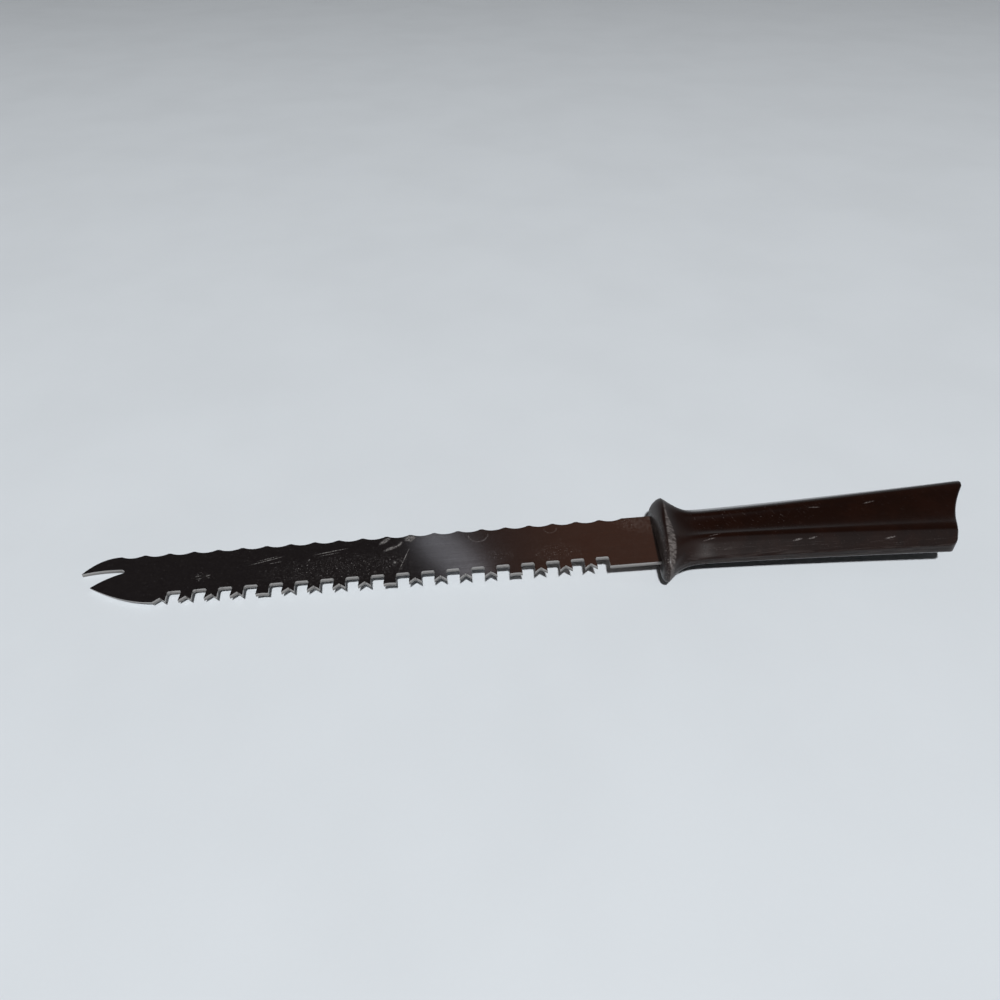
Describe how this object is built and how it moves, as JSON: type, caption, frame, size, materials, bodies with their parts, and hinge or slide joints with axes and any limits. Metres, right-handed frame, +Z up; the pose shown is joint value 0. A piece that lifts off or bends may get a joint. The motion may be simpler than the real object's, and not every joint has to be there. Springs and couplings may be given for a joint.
{
  "type": "carving knife",
  "caption": "Forked carving saw with a two-pronged tip, saw teeth along one edge, ground scallops along the other and a dark flared plastic handle",
  "frame": {"origin": "on the table under the middle of the whole knife, as it lies on its horn's point and its guard", "axes": "+X from the forked tip to the butt, +Y towards the scalloped edge, +Z up from the table"},
  "size_m": [0.347, 0.0398, 0.0184],
  "materials": {
    "blade_steel": "worn",
    "handle_plastic": "satin",
    "pin_steel": "satin"
  },
  "bodies": {
    "root": {"blade": "blade_steel", "handle_upper_half": "handle_plastic", "handle_lower_half": "handle_plastic", "tang_pin_front": "pin_steel", "tang_pin_rear": "pin_steel"}
  },
  "joints": []
}
